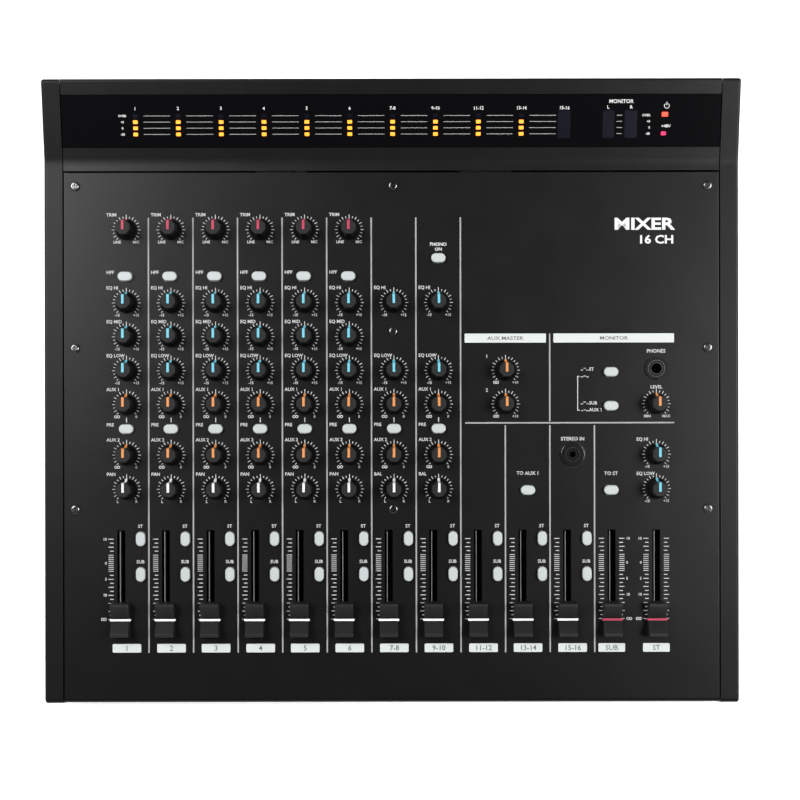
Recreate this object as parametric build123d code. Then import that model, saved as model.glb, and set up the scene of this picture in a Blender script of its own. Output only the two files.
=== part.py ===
from build123d import *
import os
from math import cos, radians, sin

# A desk-top mixing console. Millimetres, +Z up, +X to the user's right, the user sits on the -Y side.
# The origin is on the desk, under the centre of the whole object.
# Controls are laid out in panel coordinates: u to the right of the centre line, w up the slope from the
# panel's front edge, h out of the panel.

# Casing
case_width = 426.9
panel_tilt = 7.5
front_height = 46.4
panel_length = 325.5
sheet = 1.5
seam = 0.5
cheek_inner_u = 202.1
panel_half_width = cheek_inner_u - seam
cheek_proud = 0.4
floor_z = 7.0
bend_radius = 2.5
panel_edge_radius = 0.7
front_strip = 12.0
# Meter bridge, as points (w, h) of its outer face
bridge_start = (326.7, 0.0)
bridge_foot = (332.0, 0.0)
bridge_back = (381.8, 10.2)
bridge_bend_radius = 20.0
bridge_skin = 2.4
bridge_lip_z = 92.0
window_low = 8.7
window_high = 40.9
window_thickness = 1.4
window_gap = 0.15
# Strips and their controls
strip_names = ["1", "2", "3", "4", "5", "6", "7_8", "9_10", "11_12", "13_14", "15_16", "sub", "st"]
strip_pitch = 27.4
first_fader_u = -166.3
knob_offset = 3.35
assign_offset = 12.1
hpf_shift = 0.6
stereo_knob_u = 162.75
aux_master_u = 70.05
monitor_button_u = 134.8
monitor_button_drop = 1.2
phones_u = 162.65
stereo_in_u = 111.25
trim_w = 290.5
eq_hi_w = 245.6
eq_mid_w = 224.8
eq_low_w = 203.9
aux_1_w = 183.1
aux_2_w = 152.1
pan_w = 131.0
hpf_w = 261.8
pre_w = 168.1
phono_w = 272.8
to_bus_w = 130.2
assign_st_w = 100.6
assign_sub_w = 78.8
phones_w = 204.8
# Faders
fader_rest_w = 51.1
fader_travel = 49.3
fader_overrun = 5.4
slot_width = 4.9
cap_length = 22.0
cap_width = 11.2
cap_end_h = 9.6
cap_saddle_h = 4.8
cap_end_land = 2.0
cap_end_taper = 0.9
cap_line_land = 1.6
cap_gap = 1.2
lever_width = 6.0
lever_thick = 1.2
slide_pot_h = -12.5
# Knobs
knob_height = 15.0
knob_base_r = 6.4
knob_grip = 9.2
knob_gap = 0.7
shaft_r = 3.0
shaft_clearance = 0.06
# Push buttons
button_long = 8.8
button_wide = 5.6
button_h = 3.0
button_travel = 2.0
button_clearance = 0.35
# Boards under the panel
control_board_h = -14.0
fader_board_h = -20.5
board = 1.6
jack_board_depth = 26.0
# Sockets
phone_bore_r = 3.25
mini_bore_r = 1.85
rear_proud = 7.0
# Rows of the rear sockets, as heights above the desk
upper_row = 80.0
middle_row = 57.0
lower_row = 31.0
mic_row = 74.0
line_row = 36.0
inlet_x = 146.0
rocker_x = 181.0
power_z = 30.0
rocker_tilt = 12.0
rocker_pivot_depth = 5.0
rocker_pin_r = 1.2
rocker_pin_length = 12.2
# Feet
foot_r = 10.0
foot_inset_x = 30.0
foot_inset_y = 34.0

tilt = radians(panel_tilt)
case_depth = bridge_back[0] * cos(tilt) - bridge_back[1] * sin(tilt)
front_y = -(case_depth + rear_proud) / 2
rear_y = front_y + case_depth


def world(point):
    """The (y, z) of a point given as (w, h)."""
    w, h = point
    return (front_y + w * cos(tilt) - h * sin(tilt), front_height + w * sin(tilt) + h * cos(tilt))


def sloped_plane(point, degrees):
    y, z = world(point)
    angle = radians(degrees)
    return Plane(origin=(0, y, z), x_dir=(1, 0, 0), z_dir=(0, -sin(angle), cos(angle)))


meter_rise = Vector(*world(bridge_back)) - Vector(*world(bridge_foot))
meter_tilt = Vector(1, 0).get_angle(meter_rise)
PANEL = sloped_plane((0, 0), panel_tilt).location
# The bridge's face, with its s up the slope from the foot
METER = sloped_plane(bridge_foot, meter_tilt).location
# On the rear face: x as the object's, y upwards, z into the object
REAR = Plane(origin=(0, rear_y, 0), x_dir=(1, 0, 0), z_dir=(0, -1, 0)).location


def save(node, solids, place=None):
    place = place or Location()
    pieces = [piece for shape in solids for piece in (place * shape).solids()]
    group = Compound(pieces)
    group.label = node
    export_step(group, f"parts/{node}.step")


def block(x_size, y_size, low, high, at=(0, 0)):
    """A box given by its plan size, its lowest and highest z and its centre."""
    return Pos(at[0], at[1], (low + high) / 2) * Box(x_size, y_size, high - low)


def rod(radius, low, high, at=(0, 0)):
    return Pos(at[0], at[1], (low + high) / 2) * Cylinder(radius, high - low)


def plate(outline, holes, thickness):
    """A flat sheet from z = 0 down, with all its holes."""
    face = Face(outline.wire(), [hole.wire() for hole in holes])
    return Solid.extrude(face, Vector(0, 0, -thickness))


def side_section(points, half_width):
    """A bar across the object with the given outline of (y, z) points."""
    return extrude(Plane.YZ * make_face(Polyline(*points, close=True)), amount=half_width, both=True)


def sheet_section(points, thickness, half_width):
    """Bent sheet metal: the outer line of (y, z) points, thickened to the right of its direction."""
    path = [Vector(*point) for point in points]
    ways = [(b - a).normalized() for a, b in zip(path, path[1:])]
    sides = [Vector(way.Y, -way.X) for way in ways]
    inner = [path[0] + sides[0] * thickness]
    for corner, before, after in zip(path[1:], sides, sides[1:]):
        middle = before + after
        inner.append(corner + middle * (2 * thickness / middle.dot(middle)))
    inner.append(path[-1] + sides[-1] * thickness)
    outline = [(p.X, p.Y) for p in path + inner[::-1]]
    return side_section(outline, half_width)


def long_edges(solid, point, reach=0.2):
    """The edges along X that run through the (y, z) point."""
    near = solid.edges().filter_by(Axis.X)
    return near.filter_by(lambda edge: (Vector(edge.center().Y, edge.center().Z) - Vector(*point)).length < reach)


# ---- Where the controls are ----

def fader_u(strip):
    return first_fader_u + strip * strip_pitch


def knob_u(strip):
    return fader_u(strip) + knob_offset


mono_strips = range(6)
knob_strips = range(8)
bus_strips = range(11)

knob_rows = {
    "trim": (trim_w, mono_strips),
    "eq_hi": (eq_hi_w, knob_strips),
    "eq_mid": (eq_mid_w, mono_strips),
    "eq_low": (eq_low_w, knob_strips),
    "aux_1": (aux_1_w, knob_strips),
    "aux_2": (aux_2_w, knob_strips),
    "pan": (pan_w, knob_strips),
}
strip_knobs = {
    (row, strip): (knob_u(strip), w) for row, (w, strips) in knob_rows.items() for strip in strips
}
master_knobs = {
    "knob_aux_master_1": (aux_master_u, eq_low_w),
    "knob_aux_master_2": (aux_master_u, aux_1_w),
    "knob_monitor_level": (stereo_knob_u, aux_1_w),
    "knob_st_eq_hi": (stereo_knob_u, aux_2_w),
    "knob_st_eq_low": (stereo_knob_u, pan_w),
}
# The knobs with a node of their own: all of strip 1, the masters, and three of strip 9-10
single_knobs = dict(master_knobs)
for row in knob_rows:
    single_knobs[f"knob_1_{row}"] = strip_knobs.pop((row, 0))
for row in ("aux_1", "aux_2", "pan"):
    single_knobs[f"knob_9_10_{row}"] = strip_knobs.pop((row, 7))
joined_knobs = list(strip_knobs.values())
all_knobs = joined_knobs + list(single_knobs.values())

flat_buttons = {
    "hpf_buttons": [(knob_u(n) - hpf_shift, hpf_w) for n in mono_strips],
    "pre_buttons": [(knob_u(n), pre_w) for n in knob_strips],
    "master_buttons": [
        (knob_u(7), phono_w),
        (monitor_button_u, eq_low_w - monitor_button_drop),
        (monitor_button_u, aux_1_w - monitor_button_drop),
        (knob_u(9), to_bus_w),
        (monitor_button_u, to_bus_w),
    ],
}
upright_buttons = {
    "assign_st_buttons": [(fader_u(n) + assign_offset, assign_st_w) for n in bus_strips],
    "assign_sub_buttons": [(fader_u(n) + assign_offset, assign_sub_w) for n in bus_strips],
}
panel_screw_places = [(side * 194.4, w) for side in (-1, 1) for w in (317.3, 217.7, 118.7)]
panel_screw_places += [(1.05, w) for w in (317.3, 227.8, 118.7)]
under_screw_places = [(x, y) for x in (-150, 0, 150) for y in (front_y + 20, rear_y - 20)]
foot_places = [(side * (case_width / 2 - foot_inset_x), y) for side in (-1, 1)
               for y in (front_y + foot_inset_y, rear_y - foot_inset_y)]


# ---- Casing ----

def obround(length, width, upright=False):
    shape = SlotOverall(length, width)
    return Rot(0, 0, 90) * shape if upright else shape


def panel_holes():
    hole_long, hole_wide = button_long + 2 * button_clearance, button_wide + 2 * button_clearance
    slot_low = fader_rest_w - fader_overrun
    slot_long = fader_travel + 2 * fader_overrun
    holes = [Pos(*at) * Circle(shaft_r + 0.8) for at in all_knobs]
    holes += [Pos(*at) * Circle(1.7) for at in panel_screw_places]
    for group in flat_buttons.values():
        holes += [Pos(*at) * obround(hole_long, hole_wide) for at in group]
    for group in upright_buttons.values():
        holes += [Pos(*at) * obround(hole_long, hole_wide, upright=True) for at in group]
    for strip in range(len(strip_names)):
        holes.append(Pos(fader_u(strip), slot_low + slot_long / 2) * Rectangle(slot_width, slot_long))
    holes.append(Pos(phones_u, phones_w) * Circle(4.7))
    holes.append(Pos(stereo_in_u, aux_2_w) * Circle(4.9))
    return holes


def control_panel():
    flat_length = panel_length - front_strip
    outline = Pos(0, front_strip + flat_length / 2) * Rectangle(2 * panel_half_width, flat_length)
    flat = PANEL * plate(outline, panel_holes(), sheet)
    corner = world((0, 0))
    front = sheet_section([(front_y, floor_z + 2), corner, world((front_strip, 0))], sheet, panel_half_width)
    front = fillet(long_edges(front, corner), bend_radius)
    panel = flat + front
    long_sides = panel.edges().filter_by(lambda edge: edge.length > flat_length - 1)
    long_sides = long_sides.filter_by(lambda edge: abs(edge.center().X) > panel_half_width - 0.01)
    upper = long_sides.filter_by(lambda edge: (PANEL.inverse() * Pos(edge.center())).position.Z > -0.1)
    return fillet(upper, panel_edge_radius)


def window_block(margin, low, high):
    """A box over the window's area, made larger all round by margin."""
    length = window_high - window_low + 2 * margin
    return block(2 * cheek_inner_u + 2, length, low, high, (0, (window_low + window_high) / 2))


def bridge_cover():
    points = [world(p) for p in (bridge_start, bridge_foot, bridge_back)]
    points.append((rear_y, bridge_lip_z))
    cover = sheet_section(points, bridge_skin, panel_half_width)
    cover = fillet(long_edges(cover, points[1]), bridge_bend_radius)
    cover = fillet(long_edges(cover, points[2]), 1.6)
    opening = block(350, window_high - window_low - 10, -8, 5, (0, (window_low + window_high) / 2))
    return cover - METER * window_block(0, -window_thickness - 0.1, 5) - METER * opening


def meter_window():
    trimmed = block(2 * panel_half_width, 60, -5, 5, (0, window_low + 20))
    pane = window_block(-window_gap, -window_thickness, 0) & trimmed
    return [chamfer(pane.edges().group_by(Axis.Z)[-1], 0.2)]


def casing_profile(rise):
    """The casing's side outline from front to back, raised by rise."""
    points = [(0, rise), (bridge_foot[0], rise), (bridge_back[0], bridge_back[1] + rise)]
    return [world(p) for p in points]


def cheek(side):
    front, foot, back = casing_profile(cheek_proud)
    front = (front_y - cheek_proud, front[1])
    back = (rear_y, back[1])
    outline = [(front[0], floor_z), front, foot, back, (rear_y, floor_z)]
    face = make_face(Polyline(*outline, close=True))
    corners = face.vertices().sort_by(Axis.X)
    face = fillet([v for v in corners if abs(v.X - front[0]) < 0.5 and v.Y > floor_z + 5], bend_radius)
    face = fillet([v for v in face.vertices() if abs(v.X - foot[0]) < 0.5 and v.Y > floor_z + 5], bridge_bend_radius)
    face = fillet([v for v in face.vertices() if abs(v.X - back[0]) < 0.5 and v.Y > floor_z + 5], 2.0)
    face = fillet([v for v in face.vertices() if v.Y < floor_z + 0.1], 6.0)
    depth = case_width / 2 - cheek_inner_u
    body = extrude(Plane.YZ * face, amount=depth)
    outer_face = body.faces().sort_by(Axis.X)[-1]
    body = fillet(outer_face.edges(), 1.6)
    for low, high in ((14, 112), (118, 216), (222, 312)):
        pocket_top = [world((w, -6)) for w in (high, low)]
        pocket = [(pocket_top[1][0], floor_z + 5), (pocket_top[0][0], floor_z + 5)] + pocket_top
        body -= extrude(Plane.YZ * make_face(Polyline(*pocket, close=True)), amount=depth - 3.5)
    placed = Pos(cheek_inner_u, 0, 0) * body
    return placed if side > 0 else placed.mirror(Plane.YZ)


def base_tray():
    """Floor with high side walls, and low lips inside the front fold and the rear panel."""
    inset = sheet + 0.2
    wall_drop = bridge_skin + 1.0
    floor = block(2 * cheek_inner_u, case_depth - 2 * inset, floor_z, floor_z + sheet, (0, (front_y + rear_y) / 2))
    front, foot, back = casing_profile(-wall_drop)
    wall = [(front_y + inset, floor_z), (front_y + inset, front[1] - 1), world((bend_radius, -2.6)), foot]
    wall += [(rear_y - bridge_skin - 0.3, back[1] - 1.5), (rear_y - bridge_skin - 0.3, floor_z)]
    section = make_face(Polyline(*wall, close=True))
    walls = [Pos(cheek_inner_u - sheet, 0, 0) * extrude(Plane.YZ * section, amount=sheet)]
    walls.append(walls[0].mirror(Plane.YZ))
    lip = 2 * panel_half_width - 4
    front_lip = block(lip, sheet, floor_z, floor_z + 16, (0, front_y + inset + sheet / 2))
    rear_lip = block(lip, sheet, floor_z, floor_z + 8, (0, rear_y - inset - sheet / 2))
    tray = floor + walls[0] + walls[1] + front_lip + rear_lip
    vents = [Pos(x, y, floor_z) * extrude(obround(40, 4), amount=3 * sheet, both=True)
             for x in (-120, -60, 0, 60, 120) for y in (-30, -15, 0)]
    screw_holes = [rod(1.5, 0, floor_z + 4, at) for at in under_screw_places + foot_places]
    return tray - vents - screw_holes


# ---- Rear panel and its sockets ----

mic_places = [(knob_u(n), mic_row) for n in mono_strips]
line_places = [(knob_u(n), line_row) for n in mono_strips]
line_places += [(knob_u(6), upper_row), (knob_u(6), middle_row)]
line_places += [(knob_u(6), lower_row), (knob_u(8), lower_row)]
line_places += [(knob_u(11), upper_row), (knob_u(11), middle_row)]
phono_places = [(knob_u(n), z) for n in (7, 8, 9, 10, 12) for z in (upper_row, middle_row)]
phono_places += [(knob_u(n), lower_row) for n in (9, 10)]
ground_place = (knob_u(7), lower_row)
rear_screw_places = [(side * 194.5, z) for side in (-1, 1) for z in (18.0, 86.0)]
rear_screw_places += [(-8.6, 86.0), (-8.6, 18.0)]


def rear_panel():
    low, high = floor_z + 0.3, bridge_lip_z - 0.3
    outline = Pos(0, (low + high) / 2) * Rectangle(2 * panel_half_width, high - low)
    holes = [Pos(*at) * Circle(11.2) for at in mic_places]
    holes += [Pos(*at) * Circle(4.9) for at in line_places]
    holes += [Pos(*at) * Circle(4.5) for at in phono_places]
    holes += [Pos(*at) * Circle(1.7) for at in rear_screw_places]
    holes.append(Pos(*ground_place) * Circle(2.2))
    holes.append(Pos(inlet_x, power_z) * Rectangle(27.4, 20.4))
    holes.append(Pos(rocker_x, power_z) * Rectangle(13.4, 20.4))
    return Pos(0, 0, sheet) * plate(outline, holes, sheet)


def mic_jack():
    """A three-pole female socket: square flange, round body, a ring groove and three contact holes."""
    flange = extrude(RectangleRounded(26, 31, 2.5), amount=-1.8)
    flange = chamfer(flange.edges().group_by(Axis.Z)[0], 0.5)
    body = rod(10.9, -1.0, 22) + flange
    groove = rod(9.5, -3, 12) - rod(7.7, -4, 12.5)
    contacts = [rod(1.35, -4, 10, (3.6 * x, 3.6 * y)) for x, y in ((-1, 0), (1, 0), (0, -1))]
    body = body - groove - contacts
    latch = extrude(Pos(0, 12.2) * SlotOverall(7, 3.2), amount=-3.0)
    screws = [rod(1.6, -2.4, -1.7, (side * 10, -side * 12.5)) for side in (-1, 1)]
    return [body, latch] + screws


def line_jack():
    """A 6.35 mm phone socket, threaded nozzle and nut outside, moulded body inside."""
    nut = extrude(RegularPolygon(6.4, 6), amount=-1.6)
    nozzle = rod(4.6, -2.4, sheet + 0.2)
    body = block(14.5, 15.5, sheet, 24)
    bore = rod(phone_bore_r, -5, 20)
    return [(body + nozzle + nut) - bore]


def phono_jack():
    """A coaxial phono socket: a plated collar round an insulated centre hole."""
    seat = rod(6.0, -1.4, 0)
    collar = rod(4.1, -rear_proud, sheet + 6)
    shell = seat + collar - rod(3.3, -rear_proud - 1, sheet + 5)
    core = rod(3.3, -rear_proud + 2.2, sheet + 5) - rod(1.65, -rear_proud - 1, sheet + 3)
    housing = block(11, 13, sheet + 6, 18)
    return [shell, core, housing]


def ground_terminal():
    stud = rod(2.0, -5.5, 8)
    knurl = rod(4.6, -4.6, -0.6)
    for turn in range(12):
        knurl -= Rot(0, 0, 30 * turn) * Pos(4.75, 0, -2.6) * Box(0.7, 0.9, 6)
    return [stud, knurl - rod(2.0, -6, 0)]


def power_inlet():
    """An appliance inlet with three blades, and the frame of the power switch beside it."""
    flange = extrude(RectangleRounded(31, 24, 2), amount=-1.6)
    body = flange + block(27, 20, -1, 20)
    cavity = block(24.4, 16.4, -5, 15)
    cavity -= [Pos(side * 12.2, 8.2, 5) * Rot(0, 0, 45) * Box(5, 5, 40) for side in (-1, 1)]
    blades = [block(2, 4, -0.5, 17, at) for at in ((-7, -1.0), (7, -1.0), (0, 3.2))]
    inlet = [Pos(inlet_x, power_z) * piece for piece in [body - cavity] + blades]
    bezel = extrude(RectangleRounded(16, 23, 1.5), amount=-1.4) + block(13, 20, -1, 16)
    bezel -= block(10.6, 17.6, -5, 14)
    bezel -= Pos(0, 0, rocker_pivot_depth) * Rot(0, 90, 0) * Cylinder(rocker_pin_r + shaft_clearance, 20)
    return inlet + [Pos(rocker_x, power_z) * bezel]


def power_rocker():
    """Drawn level, then tipped to its 'on' side about its pin."""
    pivot = (0, 0, rocker_pivot_depth)
    profile = [(-7.4, 0.2), (0, 1.3), (7.4, 0.2), (6.5, 7.5), (-6.5, 7.5)]
    face = make_face(Polyline(*profile, close=True))
    paddle = extrude(Plane(origin=(0, 0, 0), x_dir=(0, 1, 0), z_dir=(1, 0, 0)) * face, amount=4.9, both=True)
    paddle = fillet(paddle.edges().filter_by(Axis.X).group_by(Axis.Z)[0], 0.6)
    pin = Pos(*pivot) * Rot(0, 90, 0) * Cylinder(rocker_pin_r, rocker_pin_length)
    tipped = Pos(*pivot) * Rot(rocker_tilt, 0, 0) * Pos(0, 0, -pivot[2]) * (paddle + pin)
    return Pos(rocker_x, power_z) * tipped


# ---- Controls ----

def knob_cap():
    """An eight-sided grip that rises out of a flared round skirt."""
    grip = extrude(Pos(0, 0, knob_gap) * RegularPolygon(knob_grip / 2, 8, major_radius=False, rotation=22.5),
                   amount=knob_height - knob_gap, taper=1.1)
    grip = fillet(grip.edges().group_by(Axis.Z)[-1], 0.35)
    low = (knob_base_r, knob_gap)
    rim = (knob_base_r, knob_gap + 0.7)
    waist = (knob_grip / 2 - 0.6, knob_height * 0.62)
    middle = (5.15, knob_height * 0.22)
    profile = Polyline((0, waist[1]), (0, knob_gap), low, rim)
    profile += ThreePointArc(rim, middle, waist)
    profile += Line(waist, (0, waist[1]))
    skirt = revolve(Plane.XZ * make_face(profile), Axis.Z)
    return grip + skirt - rod(shaft_r, -1, knob_height - 4)


def knob_shaft():
    return rod(shaft_r, control_board_h + 2.5, knob_height - 4)


knob_pieces = [knob_cap(), knob_shaft()]


def knobs(places):
    return [Pos(*at) * piece for at in places for piece in knob_pieces]


def fader_cap():
    """A cap with a shallow V across it: both ends stand high and the line is at its lowest."""
    half, end = cap_length / 2, cap_length / 2 - cap_end_taper
    right_side = [(cap_line_land / 2, cap_saddle_h), (end - cap_end_land, cap_end_h), (end, cap_end_h)]
    right_side.append((half, cap_gap))
    left_side = [(-y, z) for y, z in right_side[::-1]]
    upright = Plane(origin=(0, 0, 0), x_dir=(0, 1, 0), z_dir=(1, 0, 0))
    profile = make_face(Polyline(*(right_side + left_side), close=True))
    cap = extrude(upright * profile, amount=cap_width / 2, both=True)
    cap = fillet([e for e in cap.edges() if e.center().Z > cap_gap + 1], 0.6)
    return cap - block(lever_thick, lever_width, 0, cap_gap + 2)


def fader_pieces():
    lever = block(lever_thick, lever_width, slide_pot_h - 4.5, cap_gap + 2)
    carriage = block(lever_thick + 0.8, lever_width + 5, slide_pot_h - 5.7, slide_pot_h - 2.5)
    return [fader_cap(), lever + carriage]


def button_cap(upright):
    cap = extrude(obround(button_long, button_wide, upright), amount=button_h + 4)
    cap = Pos(0, 0, -4) * cap
    cap = fillet(cap.edges().group_by(Axis.Z)[-1], 0.7)
    flange = Pos(0, 0, -3.2) * extrude(obround(button_long + 1.6, button_wide + 1.6, upright), amount=1.4)
    return cap + flange


def button_pieces(upright, board_h):
    stem = block(3, 3, board_h + 3.5, -4)
    return [button_cap(upright), stem]


def buttons(places, upright, board_h):
    return [Pos(*at) * piece for at in places for piece in button_pieces(upright, board_h)]


def rotary_pot():
    body = block(9.6, 11.4, control_board_h, control_board_h + 6.5)
    bush = rod(4.2, control_board_h + 6, -sheet - 1.2)
    return body + bush - rod(shaft_r + shaft_clearance, control_board_h + 2, 0)


def push_switch(board_h):
    body = block(7.4, 7.4, board_h, -8.0)
    return body - block(3.3, 3.3, board_h + 3.5 - button_travel - 0.4, 0)


def slide_pot():
    """A folded steel channel with a long slot, over a moulded base."""
    length = fader_travel + 26
    middle = fader_rest_w + fader_travel / 2
    body = block(9.6, length, fader_board_h, slide_pot_h, (0, middle))
    slot = block(2.6, fader_travel + 14, fader_board_h + 1.4, slide_pot_h + 1, (0, middle))
    return body - slot


def cross_screw(head_r, shank):
    head = rod(head_r, 0, 1.7)
    head = fillet(head.edges().group_by(Axis.Z)[-1], 1.2)
    head -= [Rot(0, 0, turn) * block(head_r * 1.15, 0.7, 0.5, 3) for turn in (0, 90)]
    return head + rod(1.4, -shank, 0)


def phones_jack():
    nozzle = rod(4.5, -sheet - 1, 0.6)
    ring = chamfer(rod(6.85, 0, 1.7).edges().group_by(Axis.Z)[-1], 0.5)
    body = block(13, 15, -20, -sheet - 0.3)
    return [Pos(phones_u, phones_w) * ((body + nozzle + ring) - rod(phone_bore_r, -16, 5))]


def stereo_in_jack():
    ring = rod(7.7, 0, 1.5)
    ring = fillet(ring.edges().group_by(Axis.Z)[-1], 0.8) - rod(4.3, 0.4, 5)
    nozzle = rod(4.6, -5, 0.9)
    body = block(9, 12, control_board_h, -4)
    return [Pos(stereo_in_u, aux_2_w) * ((body + nozzle + ring) - rod(mini_bore_r, control_board_h + 1, 5))]


# ---- Meter bridge electronics ----
led_rows = [16.9 + 3.7 * n for n in range(4)]
led_columns = [-156.5 + 26.23 * n for n in range(11)]
monitor_columns = (133.0, 146.7)
lamp_places = [(166.8, 16.9), (167.2, 28.5)]


def meter_board():
    depth = -window_thickness - 5.2
    return [block(356, 30, depth - board, depth, (0, (window_low + window_high) / 2))]


def meter_leds():
    columns = led_columns + list(monitor_columns)
    places = [(u, s) for u in columns for s in led_rows] + lamp_places
    depth = -window_thickness - 5.2
    return [block(3.2, 2.4, depth, -window_thickness - 1.2, at) for at in places]


# ---- Boards, supply and cables inside ----

def flat_board(u_size, low_w, high_w, h):
    return block(u_size, high_w - low_w, h - board, h, (0, (low_w + high_w) / 2))


def control_board():
    phones_notch = block(14, 16, -30, 0, (phones_u, phones_w))
    return flat_board(372, 122, 321, control_board_h) - phones_notch


def power_supply():
    """A board on the floor with a laminated transformer, two smoothing capacitors and a heat sink."""
    deck = floor_z + sheet
    card = block(92, 96, deck + 5, deck + 5 + board, (140, 90))
    top = deck + 5 + board
    core = block(46, 40, top, top + 32, (122, 70))
    winding = fillet(block(34, 54, top + 5, top + 27, (122, 70)).edges().filter_by(Axis.Z), 5)
    capacitors = [rod(8, top, top + 26, (168, y)) for y in (60, 80)]
    fins = block(40, 3, top, top + 24, (160, 120))
    for n in range(6):
        fins += block(2, 12, top, top + 24, (143 + 7 * n, 126))
    posts = [rod(3, deck, deck + 5, (x, y)) for x in (100, 180) for y in (46, 134)]
    return [card, core + winding, fins] + capacitors + posts


def ribbon(points, width, x):
    path = FilletPolyline(*points, radius=4)
    strip = trace(path, line_width=1.0)
    return Pos(x, 0, 0) * extrude(Plane.YZ * strip, amount=width / 2, both=True)


def ribbon_cables():
    """Flat cables that hang below the boards and join them."""
    fader_under = fader_board_h - board - 0.2
    control_under = control_board_h - board - 0.2
    jack_board_y = rear_y - jack_board_depth - board
    join = [(104, fader_under), (104, fader_under - 7), (150, fader_under - 7), (150, control_under)]
    rise = [world((290, control_under)), world((290, control_under - 16))]
    rise += [(jack_board_y - 6, world((290, control_under - 16))[1]), (jack_board_y - 6, 70), (jack_board_y - 0.2, 70)]
    strips = [ribbon([world(p) for p in join], 26, x) for x in (-120, 30)]
    return strips + [ribbon(rise, 33, x) for x in (-70, 60)]


def jack_board():
    return [block(352, 70, jack_board_depth, jack_board_depth + board, (0, 49))]


def feet():
    foot = rod(foot_r, 0, floor_z)
    foot = chamfer(foot.edges().group_by(Axis.Z)[0], 1.5) - rod(3.4, -1, 3)
    screw = rod(2.8, 3, 4.4) + rod(1.4, 4, floor_z + 4)
    foot -= rod(2.8, 2.9, 4.4) + rod(1.4, 4, floor_z + 1)
    return [Pos(*at) * foot for at in foot_places], [Pos(*at) * screw for at in foot_places]


os.makedirs("parts", exist_ok=True)
rubber_feet, foot_screws = feet()

save("base_tray", [base_tray()])
save("control_panel", [control_panel()])
save("bridge_cover", [bridge_cover()])
save("meter_window", meter_window(), METER)
save("side_cheek_left", [cheek(-1)])
save("side_cheek_right", [cheek(1)])
save("rear_panel", [rear_panel()], REAR)
save("rubber_feet", rubber_feet)

panel_screw = cross_screw(2.9, 9)
save("panel_screws", [Pos(*at) * panel_screw for at in panel_screw_places], PANEL)
rear_screw = Rot(180, 0, 0) * cross_screw(2.9, 8)
case_screws = [REAR * Pos(*at) * rear_screw for at in rear_screw_places]
case_screws += [Pos(x, y, floor_z) * Rot(180, 0, 0) * cross_screw(2.9, 6) for x, y in under_screw_places]
save("case_screws", case_screws + foot_screws)

save("mic_jacks", [Pos(*at) * piece for at in mic_places for piece in mic_jack()], REAR)
save("line_jacks", [Pos(*at) * piece for at in line_places for piece in line_jack()], REAR)
phono_pieces = [Pos(*at) * piece for at in phono_places for piece in phono_jack()]
phono_pieces += [Pos(*ground_place) * piece for piece in ground_terminal()]
save("phono_jacks", phono_pieces, REAR)
save("power_inlet", power_inlet(), REAR)
save("power_rocker", [power_rocker()], REAR)
save("panel_jacks", phones_jack() + stereo_in_jack(), PANEL)

save("control_board", [control_board()], PANEL)
save("fader_board", [flat_board(372, 24, 119, fader_board_h)], PANEL)
save("jack_board", jack_board(), REAR)
save("meter_board", meter_board(), METER)
save("meter_leds", meter_leds(), METER)
save("power_supply", power_supply())
save("ribbon_cables", ribbon_cables())

save("rotary_pots", [Pos(*at) * rotary_pot() for at in all_knobs], PANEL)
save("slide_pots", [Pos(fader_u(n), 0) * slide_pot() for n in range(len(strip_names))], PANEL)
switches = [Pos(*at) * push_switch(control_board_h) for group in flat_buttons.values() for at in group]
switches += [Pos(*at) * push_switch(fader_board_h) for group in upright_buttons.values() for at in group]
save("push_switches", switches, PANEL)

save("channel_knobs", knobs(joined_knobs), PANEL)
for node, place in single_knobs.items():
    save(node, knobs([place]), PANEL)
for strip, name in enumerate(strip_names):
    save(f"fader_{name}", [Pos(fader_u(strip), fader_rest_w) * piece for piece in fader_pieces()], PANEL)
for node, places in flat_buttons.items():
    save(node, buttons(places, False, control_board_h), PANEL)
for node, places in upright_buttons.items():
    save(node, buttons(places, True, fader_board_h), PANEL)
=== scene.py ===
from math import atan2, cos, hypot, pi, radians, sin

import bpy
from mathutils import Matrix, Vector


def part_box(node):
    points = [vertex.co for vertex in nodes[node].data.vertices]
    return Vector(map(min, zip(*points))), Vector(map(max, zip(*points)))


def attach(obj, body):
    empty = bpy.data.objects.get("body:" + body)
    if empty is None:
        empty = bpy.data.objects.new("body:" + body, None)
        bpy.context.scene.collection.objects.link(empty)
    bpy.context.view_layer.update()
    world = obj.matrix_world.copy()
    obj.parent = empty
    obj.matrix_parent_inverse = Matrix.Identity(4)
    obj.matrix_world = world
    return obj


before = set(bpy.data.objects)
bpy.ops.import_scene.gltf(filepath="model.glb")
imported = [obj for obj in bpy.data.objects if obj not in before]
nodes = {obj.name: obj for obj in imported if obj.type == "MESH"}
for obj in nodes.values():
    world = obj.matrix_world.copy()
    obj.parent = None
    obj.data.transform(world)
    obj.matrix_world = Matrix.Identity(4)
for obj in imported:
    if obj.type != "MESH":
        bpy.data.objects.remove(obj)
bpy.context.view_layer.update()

# ---- Panel coordinates, in millimetres: u right, w up the slope, h out of the panel ----
MM = 0.001
TILT = radians(7.5)
FRONT_HEIGHT = 46.4
front_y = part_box("control_panel")[0][1] / MM
rear_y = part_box("rear_panel")[1][1] / MM
BRIDGE_FOOT = (332.0, 0.0)
BRIDGE_BACK = (381.8, 10.2)
METER_TILT = TILT + atan2(BRIDGE_BACK[1] - BRIDGE_FOOT[1], BRIDGE_BACK[0] - BRIDGE_FOOT[0])


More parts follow.
